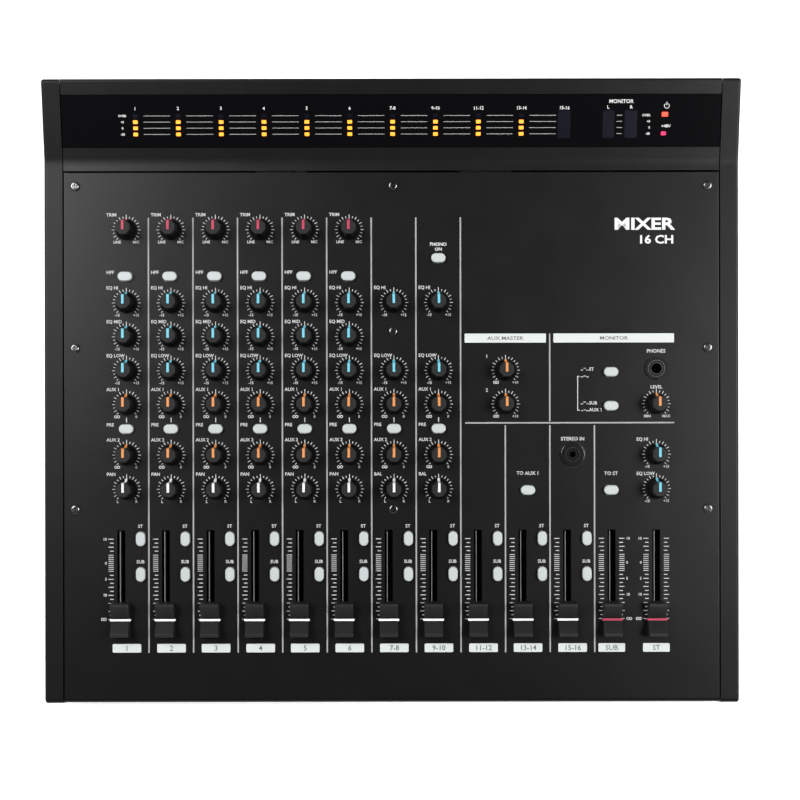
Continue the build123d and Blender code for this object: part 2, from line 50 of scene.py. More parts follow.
def sloped(w, h, angle):
    """The matrix from millimetres on a sloped plane to metres, with its origin at panel point (w, h)."""
    y = front_y + w * cos(TILT) - h * sin(TILT)
    z = FRONT_HEIGHT + w * sin(TILT) + h * cos(TILT)
    return Matrix.Scale(MM, 4) @ Matrix.Translation((0, y, z)) @ Matrix.Rotation(angle, 4, "X")


PANEL = sloped(0, 0, TILT)
METER = sloped(*BRIDGE_FOOT, METER_TILT)
# On the rear face: u towards the object's left, w up, h out of it
REAR = Matrix.Scale(MM, 4) @ Matrix.Translation((0, rear_y, 0)) @ Matrix.Rotation(pi, 4, "Z")
REAR = REAR @ Matrix.Rotation(pi / 2, 4, "X")

# ---- Where the controls are ----
PITCH = 27.4
FIRST_FADER = -166.3
KNOB_OFFSET = 3.35
ASSIGN_OFFSET = 12.1
ROWS = {
    "trim": 290.5, "eq_hi": 245.6, "eq_mid": 224.8, "eq_low": 203.9,
    "aux_1": 183.1, "aux_2": 152.1, "pan": 131.0,
}
HPF_W, PRE_W, PHONO_W = 261.8, 168.1, 272.8
ASSIGN_ST_W, ASSIGN_SUB_W = 100.6, 78.8
AUX_MASTER_U, STEREO_U, MONITOR_U, STEREO_IN_U = 70.05, 162.75, 134.8, 111.25
MONITOR_DROP = 1.2
FADER_REST, FADER_TRAVEL = 51.1, 49.3
# A knob's height, its grip's radii at the top and the foot, its skirt's radius and the gap below it
KNOB_HEIGHT, KNOB_TOP, KNOB_GRIP, KNOB_BASE, KNOB_GAP = 15.0, 4.33, 4.6, 6.4, 0.7
STRIPS = ["1", "2", "3", "4", "5", "6", "7-8", "9-10", "11-12", "13-14", "15-16", "SUB", "ST"]
FADERS = range(len(STRIPS))
MONO = range(6)
KNOB_STRIPS = range(8)
BUSES = range(11)
SUB_BUS, STEREO_BUS = 11, 12
STRIP_1, STRIP_9_10 = 0, 7
PHONES_AT = (STEREO_U - 0.1, 204.8)
STEREO_IN_AT = (STEREO_IN_U, ROWS["aux_2"])


def fader_u(n):
    return FIRST_FADER + n * PITCH


def knob_u(n):
    return fader_u(n) + KNOB_OFFSET


# ---- Materials ----

def new_material(name, base, roughness, **sockets):
    material = bpy.data.materials.new(name)
    material.use_nodes = True
    shader = material.node_tree.nodes["Principled BSDF"]
    shader.inputs["Base Color"].default_value = (*base, 1)
    shader.inputs["Roughness"].default_value = roughness
    for socket, value in sockets.items():
        shader.inputs[socket.replace("_", " ")].default_value = value
    return material


def add_noise(tree, vector, scale, detail):
    noise = tree.nodes.new("ShaderNodeTexNoise")
    noise.inputs["Scale"].default_value = scale
    noise.inputs["Detail"].default_value = detail
    tree.links.new(vector, noise.inputs["Vector"])
    return noise.outputs["Fac"]


def add_range(tree, value, low, high, start=0.0, end=1.0):
    """Maps a value that runs from start to end onto low to high."""
    ranged = tree.nodes.new("ShaderNodeMapRange")
    ranged.inputs["From Min"].default_value = start
    ranged.inputs["From Max"].default_value = end
    ranged.inputs["To Min"].default_value = low
    ranged.inputs["To Max"].default_value = high
    tree.links.new(value, ranged.inputs["Value"])
    return ranged.outputs["Result"]


# The colour sockets of a Mix node in its RGBA mode, which share their names with those of its other modes
MIX_FACTOR, MIX_FIRST, MIX_SECOND, MIX_RESULT = 0, 6, 7, 2


def add_mix(tree, shader, blend="MIX"):
    """A colour mix that feeds the shader's base colour."""
    mixed = tree.nodes.new("ShaderNodeMix")
    mixed.data_type = "RGBA"
    mixed.blend_type = blend
    tree.links.new(mixed.outputs[MIX_RESULT], shader.inputs["Base Color"])
    return mixed


BUMP_STRENGTH = 0.6


def add_bumps(tree, shader, height, depth):
    bump = tree.nodes.new("ShaderNodeBump")
    bump.inputs["Strength"].default_value = BUMP_STRENGTH
    bump.inputs["Distance"].default_value = depth
    tree.links.new(height, bump.inputs["Height"])
    tree.links.new(bump.outputs["Normal"], shader.inputs["Normal"])


GRAIN_DETAIL = 3
DRIFT_SCALE, DRIFT_DETAIL = 45, 4


def add_grain(material, size, depth, spread=0.12, stretch=(1, 1, 1)):
    """Fine bumps of the given size in metres that also vary the colour, and a slow drift of the roughness."""
    tree = material.node_tree
    shader = tree.nodes["Principled BSDF"]
    rough = shader.inputs["Roughness"].default_value
    base = shader.inputs["Base Color"].default_value[:3]
    place = tree.nodes.new("ShaderNodeTexCoord").outputs["Object"]
    scaled = tree.nodes.new("ShaderNodeMapping")
    scaled.inputs["Scale"].default_value = stretch
    tree.links.new(place, scaled.inputs["Vector"])
    grains = add_noise(tree, scaled.outputs["Vector"], 1 / size, GRAIN_DETAIL)
    add_bumps(tree, shader, grains, depth)
    slow = add_noise(tree, place, DRIFT_SCALE, DRIFT_DETAIL)
    drift = add_range(tree, slow, rough * (1 - spread), rough * (1 + spread))
    tree.links.new(drift, shader.inputs["Roughness"])
    mixed = add_mix(tree, shader)
    mixed.inputs[MIX_FIRST].default_value = (*[c * (1 - spread) for c in base], 1)
    mixed.inputs[MIX_SECOND].default_value = (*[c * (1 + spread) for c in base], 1)
    tree.links.new(grains, mixed.inputs[MIX_FACTOR])
    return material


def paint_shade_below(material, low, high, share):
    """Paints shade into the colour: fades it to a share of itself from high down to low, in millimetres over
    the panel.
    """
    tree = material.node_tree
    shader = tree.nodes["Principled BSDF"]
    source = shader.inputs["Base Color"].links[0].from_socket
    place = tree.nodes.new("ShaderNodeTexCoord").outputs["Object"]
    upward = Vector((0, -sin(TILT), cos(TILT)))
    project = tree.nodes.new("ShaderNodeVectorMath")
    project.operation = "DOT_PRODUCT"
    project.inputs[1].default_value = upward
    tree.links.new(place, project.inputs[0])
    ground = PANEL.translation.dot(upward)
    height = project.outputs["Value"]
    painted_shade = add_range(tree, height, share, 1.0, ground + low * MM, ground + high * MM)
    mixed = add_mix(tree, shader, "MULTIPLY")
    mixed.inputs[MIX_FACTOR].default_value = 1.0
    tree.links.new(source, mixed.inputs[MIX_FIRST])
    tree.links.new(painted_shade, mixed.inputs[MIX_SECOND])
    return material


def glow_material(name, colour, strength):
    return new_material(name, colour, 0.4, Emission_Color=(*colour, 1), Emission_Strength=strength)


# Each material's grain is its size and depth in metres, and for some the spread of roughness and colour
PRINT_GRAIN = (0.0004, 0.000004, 0.05)
paint = new_material("panel_paint", (0.004, 0.004, 0.0041), 0.31, Specular_IOR_Level=0.22)
paint = add_grain(paint, 0.00035, 0.00003)
coat = add_grain(new_material("powder_coat", (0.012, 0.012, 0.0125), 0.55), 0.0009, 0.00008)
cheek_plastic = new_material("cheek_plastic", (0.005, 0.005, 0.0052), 0.34, Specular_IOR_Level=0.16)
cheek_plastic = add_grain(cheek_plastic, 0.0006, 0.00005)
window_acrylic = add_grain(new_material("smoked_acrylic", (0.002, 0.002, 0.0025), 0.1), 0.02, 0.000002, 0.05)
knob_rubber = new_material("knob_rubber", (0.013, 0.013, 0.013), 0.5, Specular_IOR_Level=0.15)
knob_rubber = add_grain(knob_rubber, 0.0004, 0.00002)
# A knob's side has painted shade: it fades to this share of its colour, between two heights over the panel
SHADE_LOW, SHADE_HIGH, SHADE_SHARE = 9.0, 14.6, 0.08
knob_rubber = paint_shade_below(knob_rubber, SHADE_LOW, SHADE_HIGH, SHADE_SHARE)
cap_plastic = new_material("fader_cap_plastic", (0.01, 0.01, 0.01), 0.45, Specular_IOR_Level=0.25)
cap_plastic = add_grain(cap_plastic, 0.0005, 0.00002)
button_plastic = add_grain(new_material("button_plastic", (0.4, 0.43, 0.425), 0.42), 0.0005, 0.00001, 0.04)
black_plastic = add_grain(new_material("socket_plastic", (0.012, 0.012, 0.012), 0.35), 0.0006, 0.00002)
screw_black = new_material("blackened_steel", (0.16, 0.16, 0.16), 0.2, Metallic=1.0)
screw_black = add_grain(screw_black, 0.0003, 0.00001)
rubber = add_grain(new_material("foot_rubber", (0.025, 0.025, 0.025), 0.8), 0.0005, 0.00004)
board_green = add_grain(new_material("board_green", (0.02, 0.13, 0.06), 0.35), 0.0015, 0.00002)
brass = add_grain(new_material("plated_brass", (0.75, 0.6, 0.33), 0.25, Metallic=1.0), 0.0004, 0.000006)
cable_grey = new_material("cable_grey", (0.4, 0.4, 0.42), 0.5)
cable_grey = add_grain(cable_grey, 0.001, 0.00004, stretch=(1.3, 0.02, 0.02))
supply_grey = add_grain(new_material("supply_grey", (0.2, 0.2, 0.22), 0.4, Metallic=0.6), 0.0008, 0.00004)
ink_white = add_grain(new_material("ink_white", (0.62, 0.62, 0.62), 0.6), *PRINT_GRAIN)
ink_block = add_grain(new_material("ink_block", (0.5, 0.53, 0.52), 0.6), *PRINT_GRAIN)
ink_soft = add_grain(new_material("ink_soft", (0.45, 0.45, 0.45), 0.6), *PRINT_GRAIN)
ink_grey = add_grain(new_material("ink_grey", (0.27, 0.27, 0.27), 0.6), *PRINT_GRAIN)
ink_dark = add_grain(new_material("ink_dark", (0.09, 0.09, 0.09), 0.6), *PRINT_GRAIN)
ink_red = add_grain(new_material("ink_red", (0.36, 0.018, 0.06), 0.45), *PRINT_GRAIN)
ink_blue = add_grain(new_material("ink_blue", (0.11, 0.42, 0.53), 0.45), *PRINT_GRAIN)
ink_orange = add_grain(new_material("ink_orange", (0.55, 0.2, 0.05), 0.45), *PRINT_GRAIN)
line_white = add_grain(new_material("line_white", (0.88, 0.88, 0.88), 0.5), *PRINT_GRAIN)
pot_steel = add_grain(new_material("pot_steel", (0.03, 0.03, 0.03), 0.6, Metallic=0.6), 0.0004, 0.00001)
rail_steel = add_grain(new_material("rail_steel", (0.2, 0.2, 0.2), 0.4, Metallic=0.3), 0.0004, 0.00001)
socket_gloss = add_grain(new_material("socket_gloss", (0.003, 0.003, 0.003), 0.22), 0.0006, 0.00001)
# Near black, for the painted shade of the stereo input's groove and of the gap round it
ring_shade_black = add_grain(new_material("ring_shade_black", (0.001, 0.001, 0.001), 0.35), 0.0006, 0.00001)
ring_steel = add_grain(new_material("ring_steel", (0.08, 0.08, 0.08), 0.35, Metallic=0.9), 0.0006, 0.00001)
dark_lens = add_grain(new_material("dark_lens", (0.003, 0.003, 0.008), 0.2), 0.002, 0.000002, 0.1)
amber_glow = glow_material("amber_glow", (1.0, 0.3, 0.02), 1.0)
red_glow = glow_material("red_glow", (1.0, 0.05, 0.02), 0.9)
crimson_glow = glow_material("crimson_glow", (0.8, 0.01, 0.09), 0.7)

NODE_MATERIALS = {
    "control_panel": paint, "bridge_cover": paint, "meter_window": window_acrylic,
    "side_cheek_left": cheek_plastic, "side_cheek_right": cheek_plastic,
    "rear_panel": coat, "base_tray": coat, "rubber_feet": rubber,
    "panel_screws": screw_black, "case_screws": screw_black,
    "mic_jacks": black_plastic, "line_jacks": black_plastic,
    "panel_jacks": socket_gloss, "phono_jacks": brass,
    "power_inlet": black_plastic, "power_rocker": black_plastic,
    "slide_pots": pot_steel, "rotary_pots": supply_grey, "push_switches": black_plastic,
    "meter_leds": amber_glow, "power_supply": supply_grey, "ribbon_cables": cable_grey,
}


def material_of(node):
    if node in NODE_MATERIALS:
        return NODE_MATERIALS[node]
    if node.endswith("_board"):
        return board_green
    if node.endswith("_buttons"):
        return button_plastic
    return cap_plastic if node.startswith("fader_") else knob_rubber


for node, piece in nodes.items():
    for slot in piece.material_slots:
        slot.material = material_of(node)


# ---- A builder of thin printed shapes ----

def add_mesh(name, points, faces, material, body, slot):
    mesh = bpy.data.meshes.new(name)
    mesh.from_pydata(points, [], faces)
    mesh.materials.append(material)
    piece = bpy.data.objects.new(name, mesh)
    bpy.context.collection.objects.link(piece)
    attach(piece, body)


CAPITAL = 0.69  # the built-in font's capital height, as a share of its size


class Print:
    """Gathers flat shapes with a little thickness on one plane, then makes them one mesh."""

    def __init__(self, plane, lift=0.0, thickness=0.06):
        self.plane, self.lift, self.thickness = plane, lift, thickness
        self.points, self.faces = [], []

    def shape(self, outline):
        """A closed outline of (u, w) points, anticlockwise, as a thin plate with its top and sides."""
        start, count = len(self.points), len(outline)
        for level in (self.lift, self.lift + self.thickness):
            self.points += [self.plane @ Vector((u, w, level)) for u, w in outline]
        self.faces.append([start + count + n for n in range(count)])
        for n in range(count):
            after = (n + 1) % count
            self.faces.append([start + n, start + after, start + count + after, start + count + n])

    def bar(self, u, w, length, width, angle=0.0):
        """A straight bar centred at (u, w)."""
        along = Vector((cos(angle), sin(angle))) * (length / 2)
        across = Vector((-sin(angle), cos(angle))) * (width / 2)
        centre = Vector((u, w))
        corners = (-along - across, along - across, along + across, -along + across)
        self.shape([centre + corner for corner in corners])

    def line(self, start, end, width):
        du, dw = end[0] - start[0], end[1] - start[1]
        self.bar((start[0] + end[0]) / 2, (start[1] + end[1]) / 2, hypot(du, dw), width, atan2(dw, du))

    def rounded(self, u, w, length, width, radius, steps=4):
        corners = []
        for quarter, (su, sw) in enumerate(((1, 1), (-1, 1), (-1, -1), (1, -1))):
            centre = (u + su * (length / 2 - radius), w + sw * (width / 2 - radius))
            for n in range(steps + 1):
                turn = (quarter + n / steps) * pi / 2
                corners.append((centre[0] + radius * cos(turn), centre[1] + radius * sin(turn)))
        self.shape(corners)

    def ring(self, u, w, outer, inner, start=0.0, sweep=2 * pi, steps=32):
        for n in range(steps):
            first, second = start + sweep * n / steps, start + sweep * (n + 1) / steps
            self.shape([(u + r * cos(t), w + r * sin(t)) for r, t in
                        ((inner, first), (outer, first), (outer, second), (inner, second))])

    def text(self, words, u, w, height, align="CENTER", stretch=1.0, bold=0.05):
        """Plain lettering with its capitals height millimetres tall, centred on w."""
        curve = bpy.data.curves.new("words", "FONT")
        curve.body = words
        curve.size = height / CAPITAL
        curve.align_x = align
        curve.resolution_u = 2
        curve.offset = bold
        holder = bpy.data.objects.new("words", curve)
        mesh = bpy.data.meshes.new_from_object(holder)
        start = len(self.points)
        top = self.lift + self.thickness
        for vertex in mesh.vertices:
            at = Vector((u + vertex.co.x * stretch, w - height / 2 + vertex.co.y, top))
            self.points.append(self.plane @ at)
        self.faces += [[start + v for v in face.vertices] for face in mesh.polygons]
        bpy.data.objects.remove(holder)
        bpy.data.meshes.remove(mesh)
        bpy.data.curves.remove(curve)

    def finish(self, name, material, slot="control_panel"):
        add_mesh(name, self.points, self.faces, material, "root", slot)


# ---- Panel print ----
white = Print(PANEL)
blocks = Print(PANEL)
fine = Print(PANEL)
grey = Print(PANEL)
dark = Print(PANEL, lift=0.06, thickness=0.04)

# Lettering heights, and how much it is thickened
HEADING, LABEL, SMALL = 2.1, 1.95, 1.6
LETTER_BOLD = 0.06
LABEL_LEFT, LABEL_RISE = -12.3, 9.3
# The ticks round a knob: how many, the degrees to the first and between them, and (inner, outer) radii
DIAL_TICKS, DIAL_START, DIAL_STEP = 19, 225, 15
DIAL_MIDDLE, DIAL_LONG, DIAL_SHORT = (6.5, 9.3), (7.1, 8.9), (7.2, 8.4)
DIAL_LINE = 0.44
# The marks at the two ends of a knob's turn, from its centre
DIAL_LOW_U, DIAL_INFINITY_U, DIAL_HIGH_U, DIAL_MARK_DROP = -5.6, -5.8, 6.0, 7.5


def label(words, u, w, height=LABEL, align="CENTER"):
    fine.text(words, u, w, height, align, bold=LETTER_BOLD)


def knob_scale(u, w):
    """Ticks over three quarters of a turn, every second one longer and the middle one longest."""
    for n in range(DIAL_TICKS):
        turn = radians(DIAL_START - DIAL_STEP * n)
        inner, outer = DIAL_LONG if n % 2 else DIAL_SHORT
        if n == DIAL_TICKS // 2:
            inner, outer = DIAL_MIDDLE
        reach = (inner + outer) / 2
        fine.bar(u + reach * cos(turn), w + reach * sin(turn), outer - inner, DIAL_LINE, turn)


LOOP_OFFSET, LOOP_OUTER, LOOP_INNER = 0.85, 0.95, 0.5


def infinity_sign(u, w):
    for side in (-1, 1):
        fine.ring(u + side * LOOP_OFFSET, w, LOOP_OUTER, LOOP_INNER, steps=14)


INFINITY = "infinity"


def knob_labels(u, w, low, high, title, title_u=LABEL_LEFT, title_w=LABEL_RISE, align="LEFT"):
    if low == INFINITY:
        infinity_sign(u + DIAL_INFINITY_U, w - DIAL_MARK_DROP)
    else:
        label(low, u + DIAL_LOW_U, w - DIAL_MARK_DROP, SMALL)
    label(high, u + DIAL_HIGH_U, w - DIAL_MARK_DROP, SMALL)
    label(title, u + title_u, w + title_w, LABEL, align)


SCALES = {
    "trim": ("LINE", "MIC", "TRIM", MONO), "eq_hi": ("-15", "+15", "EQ HI", KNOB_STRIPS),
    "eq_mid": ("-15", "+15", "EQ MID", MONO), "eq_low": ("-15", "+15", "EQ LOW", KNOB_STRIPS),
    "aux_1": (INFINITY, "0", "AUX 1", KNOB_STRIPS), "aux_2": (INFINITY, "0", "AUX 2", KNOB_STRIPS),
    "pan": ("L", "R", "PAN", KNOB_STRIPS),
}
for row, (low, high, title, strips) in SCALES.items():
    for n in strips:
        words = "BAL" if row == "pan" and n not in MONO else title
        knob_scale(knob_u(n), ROWS[row])
        knob_labels(knob_u(n), ROWS[row], low, high, words)

# Labels of the push buttons
BUTTON_LABEL_RISE = 2.6
PRE_STEM_LOW, PRE_STEM_HIGH, PRE_STEM_LINE = 4.0, 6.9, 0.55
for n in MONO:
    label("HPF", knob_u(n) + LABEL_LEFT, HPF_W + BUTTON_LABEL_RISE, LABEL, "LEFT")
for n in KNOB_STRIPS:
    u = knob_u(n)
    label("PRE", u + LABEL_LEFT, PRE_W + BUTTON_LABEL_RISE, LABEL, "LEFT")
    fine.line((u, PRE_W + PRE_STEM_LOW), (u, PRE_W + PRE_STEM_HIGH), PRE_STEM_LINE)
for words, rise in (("PHONO", 8.6), ("ON", 5.6)):
    white.text(words, knob_u(STRIP_9_10), PHONO_W + rise, LABEL)

# Strip dividers and section lines
STRIP_LOW, STRIP_HIGH, BUS_HIGH = 30.5, 297.9, 170.0
SECTION_W, HEADER_W = 171.5, 223.6
DIVIDER_LINE, DIVIDER_OFFSET = 0.9, 16.95
for n in BUSES:
    u = fader_u(0) + DIVIDER_OFFSET + n * PITCH
    grey.line((u, STRIP_LOW), (u, STRIP_HIGH if n in KNOB_STRIPS else BUS_HIGH), DIVIDER_LINE)
MASTER_LEFT, MASTER_RIGHT, MONITOR_LEFT = 45.25, 173.7, 97.25
grey.line((MASTER_LEFT, SECTION_W), (MASTER_RIGHT, SECTION_W), DIVIDER_LINE)
grey.line((MONITOR_LEFT, SECTION_W + 1), (MONITOR_LEFT, HEADER_W + 2.8), DIVIDER_LINE)
HEADER_HIGH, HEADER_RADIUS = 5.6, 0.3
for title, centre, length in (("AUX MASTER", 69.95, 50.0), ("MONITOR", 136.6, 74.2)):
    blocks.rounded(centre, HEADER_W, length, HEADER_HIGH, HEADER_RADIUS)
    dark.text(title, centre, HEADER_W, HEADING, stretch=1.22)

# Master section
for name, row in (("1", "eq_low"), ("2", "aux_1")):
    knob_scale(AUX_MASTER_U, ROWS[row])
    knob_labels(AUX_MASTER_U, ROWS[row], INFINITY, "+10", name, -11.5, 8.6, "CENTER")
knob_scale(STEREO_U, ROWS["aux_1"])
knob_labels(STEREO_U, ROWS["aux_1"], "MIN", "MAX", "LEVEL", 0.0, 10.4, "CENTER")
label("PHONES", PHONES_AT[0], 215.6, HEADING)
for row, title in (("aux_2", "EQ HI"), ("pan", "EQ LOW")):
    knob_scale(STEREO_U, ROWS[row])
    knob_labels(STEREO_U, ROWS[row], "-15", "+15", title)


SIGN_LINE, SIGN_STEP, SIGN_ENDS, SIGN_TOP = 0.4, 1.7, 1.5, 1.6
SIGN_IN, SIGN_OUT = 0.5, 1.1


def button_sign(u, w, pressed):
    """The small side view of a button, in or out, over its base line."""
    fine.bar(u, w, SIGN_ENDS, SIGN_LINE)
    fine.bar(u + SIGN_STEP, w + (SIGN_IN if pressed else SIGN_OUT), SIGN_TOP, SIGN_LINE)
    fine.bar(u + 2 * SIGN_STEP, w, SIGN_ENDS, SIGN_LINE)


# The bracket beside the monitor buttons, and what each button gives when out and in
BRACKET_U, BRACKET_LINE, BRACKET_DROP = 114.4, 0.5, 2.7
SIGN_U, SIGN_LABEL_U, SIGN_OUT_W, SIGN_IN_W = 2.6, 7.0, 1.2, -3.0
fine.line((BRACKET_U, ROWS["eq_low"] - 3.9), (BRACKET_U, ROWS["aux_1"] - 3.7), BRACKET_LINE)
for row, when_out, when_in in (("eq_low", "ST", None), ("aux_1", "SUB", "AUX 1")):
    w = ROWS[row] - MONITOR_DROP
    foot = w - BRACKET_DROP
    fine.line((BRACKET_U - 0.2, foot), (BRACKET_U + 1.2, foot), BRACKET_LINE)
    for side, words, pressed in ((SIGN_OUT_W, when_out, False), (SIGN_IN_W, when_in, True)):
        button_sign(BRACKET_U + SIGN_U, w + side, pressed)
        if words:
            label(words, BRACKET_U + SIGN_LABEL_U, w + side + 0.6, LABEL, "LEFT")
label("STEREO IN", STEREO_IN_U, 161.7, HEADING)
label("TO AUX 1", knob_u(9), 140.6, HEADING)
label("TO ST", MONITOR_U, 140.4, HEADING)
white.text("MIXER", MASTER_RIGHT, 293.8, 6.9, "RIGHT", stretch=1.3, bold=0.3)
white.text("16 CH", MASTER_RIGHT, 284.2, 4.9, "RIGHT", stretch=1.15, bold=0.2)

# Fader scales
TICKS = 20
TICK_STEP = FADER_TRAVEL / TICKS
TICK_INNER, TICK_LONG, TICK_SHORT = 4.7, 7.9, 6.9
TICK_LINE, DENSE_LINE = 0.5, 0.4
DENSE_LOW, DENSE_HIGH = 12, 16
SCALE_MARKS = ((100.4, "10"), (85.6, "0"), (75.8, "5"), (66.0, "10"))
MARK_OFFSET, INFINITY_OFFSET = 8.9, 1.9


def fader_scale(u, side):
    """Ticks beside a fader's slot, twice as close and all long in the dense stretch."""
    for half_step in range(2 * TICKS + 1):
        n = half_step / 2
        dense = DENSE_LOW <= n <= DENSE_HIGH
        if half_step % 2 and not dense:
            continue
        reach = TICK_LONG if dense or n % 2 == 0 else TICK_SHORT
        line = DENSE_LINE if dense else TICK_LINE
        fine.bar(u + side * (TICK_INNER + reach) / 2, FADER_REST + n * TICK_STEP, reach - TICK_INNER, line)


for n in FADERS:
    fader_scale(fader_u(n), -1)
for n in (SUB_BUS, STEREO_BUS):
    fader_scale(fader_u(n), 1)
for n, align, side in ((STRIP_1, "RIGHT", -1), (SUB_BUS, "LEFT", 1), (STEREO_BUS, "RIGHT", -1)):
    u = fader_u(n) + side * MARK_OFFSET
    infinity_sign(u + side * INFINITY_OFFSET, FADER_REST)
    for w, words in SCALE_MARKS:
        label(words, u, w, SMALL, align)
ASSIGN_LABEL_SHIFT, ASSIGN_LABEL_RISE = -0.3, 7.7
for n in BUSES:
    u = fader_u(n) + ASSIGN_OFFSET + ASSIGN_LABEL_SHIFT
    label("ST", u, ASSIGN_ST_W + ASSIGN_LABEL_RISE)
    label("SUB", u, ASSIGN_SUB_W + ASSIGN_LABEL_RISE)

# Name blocks under the faders
BLOCK_W, BLOCK_HIGH, BLOCK_RADIUS = 33.3, 5.3, 0.7
BUS_BLOCK, MAIN_BLOCK = 17.6, 16.4
NAME_HIGH = 3.1
for n, name in enumerate(STRIPS):
    centre, length = (knob_u(n), BUS_BLOCK) if n in BUSES else (fader_u(n), MAIN_BLOCK)
    blocks.rounded(centre, BLOCK_W, length, BLOCK_HIGH, BLOCK_RADIUS)
    dark.text(name, centre, BLOCK_W, NAME_HIGH)

white.finish("panel_print_white", ink_white)
blocks.finish("panel_print_blocks", ink_block)
fine.finish("panel_print_fine", ink_soft)
grey.finish("panel_print_grey", ink_grey)
dark.finish("panel_print_dark", ink_dark)

# ---- Rails in the fader slots, and the rings of the panel sockets ----
RAIL_LOW, RAIL_HIGH, RAIL_OFFSET = -12.5, -1.8, -0.95
RAIL_LENGTH, RAIL_LINE = FADER_TRAVEL + 9.0, 0.4
rails = Print(PANEL, lift=RAIL_LOW, thickness=RAIL_HIGH - RAIL_LOW)
for n in FADERS:
    rails.bar(fader_u(n) + RAIL_OFFSET, FADER_REST + FADER_TRAVEL / 2, RAIL_LENGTH, RAIL_LINE, pi / 2)
rails.finish("fader_rails", rail_steel, slot="slide_pots")


def lathe_ring(u, w, profile, steps=64):
    """A ring about the panel's normal at (u, w), from a closed profile of (radius, height)."""
    points, faces = [], []
    count = len(profile)
    for n in range(steps):
        turn = 2 * pi * n / steps
        points += [PANEL @ Vector((u + r * cos(turn), w + r * sin(turn), h)) for r, h in profile]
    for n in range(steps):
        for k in range(count):
            a, b = n * count, (n + 1) % steps * count
            faces.append([a + k, b + k, b + (k + 1) % count, a + (k + 1) % count])
    return points, faces


# Profiles of (radius, height over the panel)
steel_lip = [(4.75, 1.7), (5.25, 1.7), (5.15, 2.05), (4.85, 2.05)]
inner_lip = [(3.3, 1.71), (3.6, 1.71), (3.55, 1.9), (3.35, 1.9)]
# The next two are thin black rings of painted shade, where the stereo input's groove and the gap round its
# face lie in shadow
groove_shade = [(4.0, 1.5), (4.6, 1.5), (4.5, 1.6), (4.1, 1.6)]
gap_shade = [(7.75, 0.0), (8.3, 0.0), (8.2, 0.15), (7.8, 0.15)]
RINGS = (
    ("phones_lip", PHONES_AT, steel_lip, ring_steel),
    ("phones_inner_lip", PHONES_AT, inner_lip, ring_steel),
    ("stereo_in_groove", STEREO_IN_AT, groove_shade, ring_shade_black),
    ("stereo_in_surround", STEREO_IN_AT, gap_shade, ring_shade_black),
)
for name, at, profile, material in RINGS:
    add_mesh(name, *lathe_ring(*at, profile), material, "root", "panel_jacks")

# ---- Knob pointers ----
GRIP_TAPER = (KNOB_GRIP - KNOB_TOP) / (KNOB_HEIGHT - KNOB_GAP)


def circle_through(a, b, c):
    """Centre and radius of the circle through three points."""
    ax, ay = b[0] - a[0], b[1] - a[1]
    bx, by = c[0] - a[0], c[1] - a[1]
    spread = 2 * (ax * by - ay * bx)
    la, lb = ax * ax + ay * ay, bx * bx + by * by
    cx, cy = (by * la - ay * lb) / spread, (ax * lb - bx * la) / spread
    return (a[0] + cx, a[1] + cy), hypot(cx, cy)


# The skirt's flare is an arc through three points of (radius, height)
skirt_rim = (KNOB_BASE, KNOB_GAP + 0.7)
skirt_waist = (KNOB_GRIP - 0.6, KNOB_HEIGHT * 0.62)
skirt_centre, skirt_radius = circle_through(skirt_rim, (5.15, KNOB_HEIGHT * 0.22), skirt_waist)


def knob_reach(h):
    """How far the knob's side stands out at height h, straight ahead of the pointer."""
    grip = KNOB_GRIP - (h - KNOB_GAP) * GRIP_TAPER
    if h > skirt_waist[1]:
        return grip
    flare = skirt_centre[0] - (skirt_radius ** 2 - (h - skirt_centre[1]) ** 2) ** 0.5
    return max(grip, flare)


# Half the pointer's width, its depth, and how far it stands out of the knob
POINTER_HALF, POINTER_DEPTH, POINTER_SKIN = 0.75, 0.35, 0.07
POINTER_BACK, POINTER_STEP = -1.5, 0.9


def pointer_path():
    """The pointer's line as (reach, height), from over the knob's top down to the foot of its skirt."""
    top = KNOB_HEIGHT + POINTER_SKIN
    path = [(POINTER_BACK, top), (KNOB_TOP - 0.3, top), (KNOB_TOP + POINTER_SKIN, KNOB_HEIGHT - 0.35)]
    height = KNOB_HEIGHT - 1.2
    while height > skirt_rim[1]:
        path.append((knob_reach(height) + POINTER_SKIN, height))
        height -= POINTER_STEP
    path.append((KNOB_BASE + POINTER_SKIN, skirt_rim[1]))
    path.append((KNOB_BASE + POINTER_SKIN, KNOB_GAP + 0.1))
    return path


def pointer_section(path, n):
    """The pointer's four corners as (side, reach, height) at one step of its path."""
    reach, h = path[n]
    before, after = path[max(n - 1, 0)], path[min(n + 1, len(path) - 1)]
    along = Vector((after[0] - before[0], after[1] - before[1])).normalized()
    low = Vector((reach, h)) + Vector((along.y, -along.x)) * POINTER_DEPTH
    half = POINTER_HALF
    return (-half, reach, h), (half, reach, h), (half, low.x, low.y), (-half, low.x, low.y)


def pointer_mesh(centres):
    points, faces = [], []
    path = pointer_path()
    for u, w in centres:
        start = len(points)
        for n in range(len(path)):
            points += [PANEL @ Vector((u + side, w + r, z)) for side, r, z in pointer_section(path, n)]
        for n in range(len(path) - 1):
            a, b = start + 4 * n, start + 4 * n + 4
            faces += [[a, a + 1, b + 1, b], [a + 1, a + 2, b + 2, b + 1], [a + 3, a, b, b + 3]]
        last = start + 4 * (len(path) - 1)
        faces += [[start + 3, start + 2, start + 1, start], [last, last + 1, last + 2, last + 3]]
    return points, faces


POINTER_INKS = {
    "trim": ink_red, "eq_hi": ink_blue, "eq_mid": ink_blue, "eq_low": ink_blue,
    "aux_1": ink_orange, "aux_2": ink_orange, "pan": ink_white,
}
